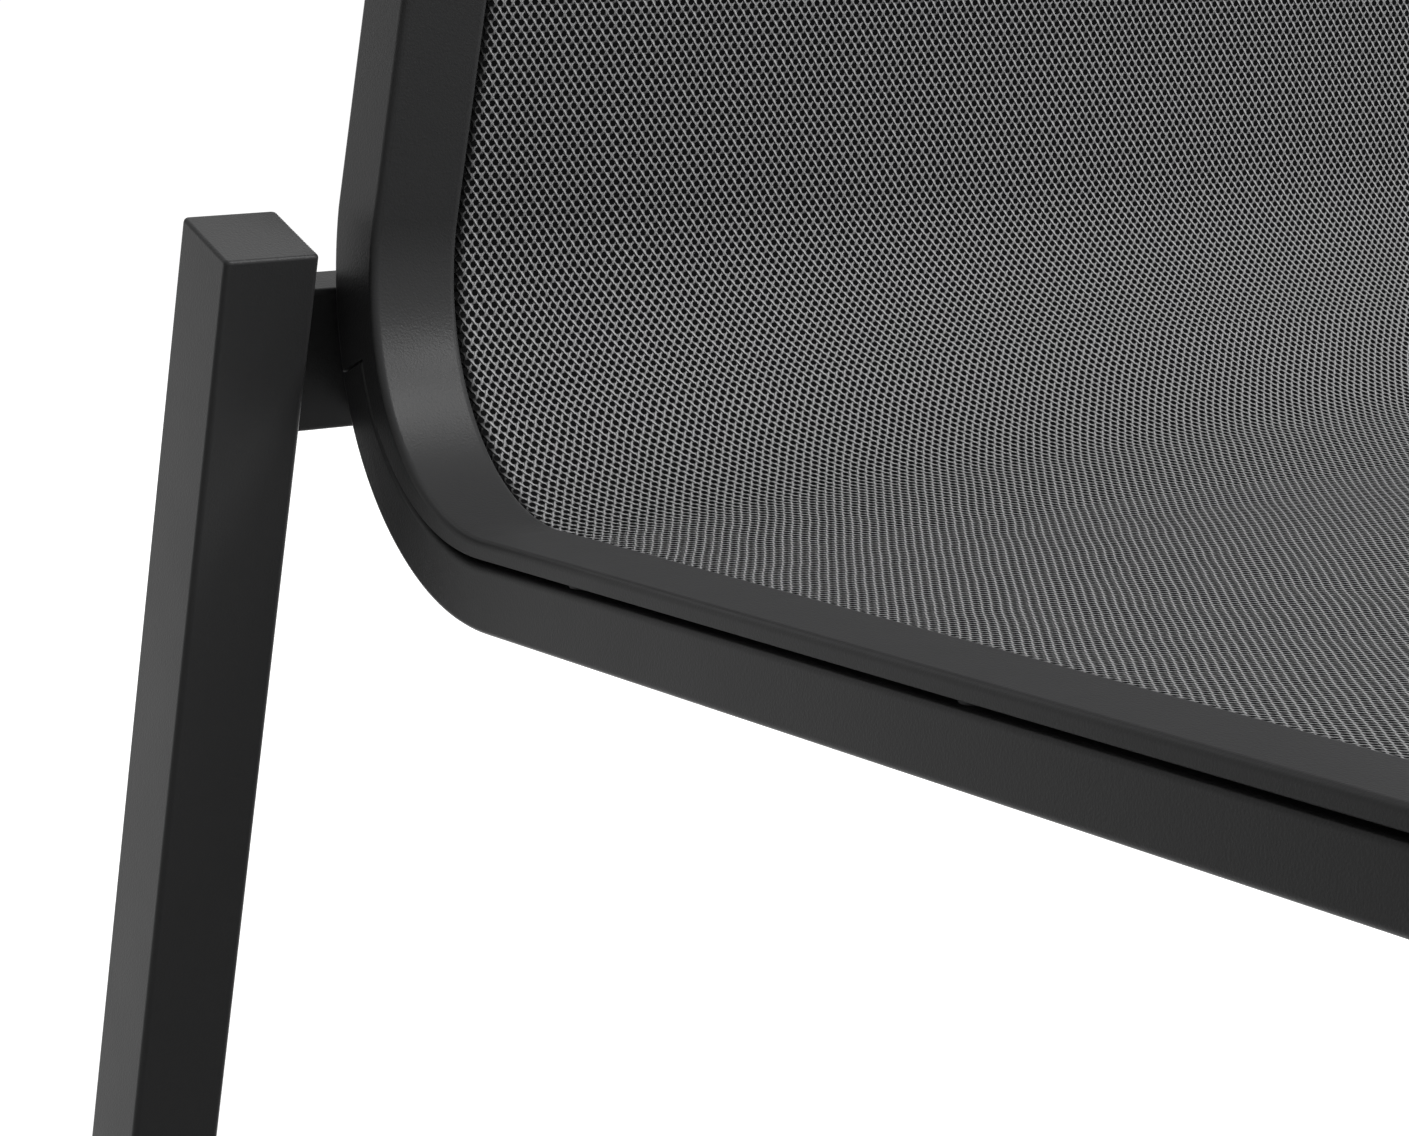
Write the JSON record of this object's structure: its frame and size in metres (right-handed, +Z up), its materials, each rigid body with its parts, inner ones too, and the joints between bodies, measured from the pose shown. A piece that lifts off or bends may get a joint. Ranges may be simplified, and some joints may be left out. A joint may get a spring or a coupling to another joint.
{
  "type": "sling patio chair",
  "caption": "Armless patio chair with a mesh sling stretched between bent side rails, carried on raked tube legs and crossbars.",
  "frame": {"origin": "on the floor, under the middle of the chair's bounding box", "axes": "+Z up, the sitter looks along -Y, and +X is at the sitter's left hand"},
  "size_m": [0.5906, 0.643, 0.871],
  "materials": {
    "charcoal_frame": "matt charcoal powder coat",
    "sling_mesh": "woven PVC-coated mesh, dark grey",
    "black_plastic": "moulded, fine grain",
    "dark_hardware": "blackened stainless steel"
  },
  "bodies": {
    "root": {"back_mid_bar": "charcoal_frame", "back_mid_bar_screw_left": "dark_hardware", "back_mid_bar_screw_right": "dark_hardware", "back_top_bar": "charcoal_frame", "back_top_bar_screw_left": "dark_hardware", "back_top_bar_screw_right": "dark_hardware", "front_crossbar": "charcoal_frame", "front_foot_glide_left": "black_plastic", "front_foot_glide_right": "black_plastic", "front_leg_left": "charcoal_frame", "front_leg_right": "charcoal_frame", "keder_rod_left": "black_plastic", "keder_rod_right": "black_plastic", "rail_front_cap_left": "black_plastic", "rail_front_cap_right": "black_plastic", "rail_top_cap_left": "black_plastic", "rail_top_cap_right": "black_plastic", "rear_bolt_1_left": "dark_hardware", "rear_bolt_1_right": "dark_hardware", "rear_bolt_2_left": "dark_hardware", "rear_bolt_2_right": "dark_hardware", "rear_crossbar": "charcoal_frame", "rear_foot_glide_left": "black_plastic", "rear_foot_glide_right": "black_plastic", "rear_leg_left": "charcoal_frame", "rear_leg_right": "charcoal_frame", "rear_saddle_left": "charcoal_frame", "rear_saddle_right": "charcoal_frame", "seat_bolt_1_left": "dark_hardware", "seat_bolt_1_right": "dark_hardware", "seat_bolt_2_left": "dark_hardware", "seat_bolt_2_right": "dark_hardware", "seat_bolt_3_left": "dark_hardware", "seat_bolt_3_right": "dark_hardware", "seat_front_bar": "charcoal_frame", "seat_front_bar_screw_left": "dark_hardware", "seat_front_bar_screw_right": "dark_hardware", "seat_side_tube_left": "charcoal_frame", "seat_side_tube_right": "charcoal_frame", "seat_washer_1_left": "black_plastic", "seat_washer_1_right": "black_plastic", "seat_washer_2_left": "black_plastic", "seat_washer_2_right": "black_plastic", "seat_washer_3_left": "black_plastic", "seat_washer_3_right": "black_plastic", "side_tube_cap_left": "black_plastic", "side_tube_cap_right": "black_plastic", "sling": "sling_mesh", "sling_rail_left": "charcoal_frame", "sling_rail_right": "charcoal_frame"}
  },
  "joints": []
}
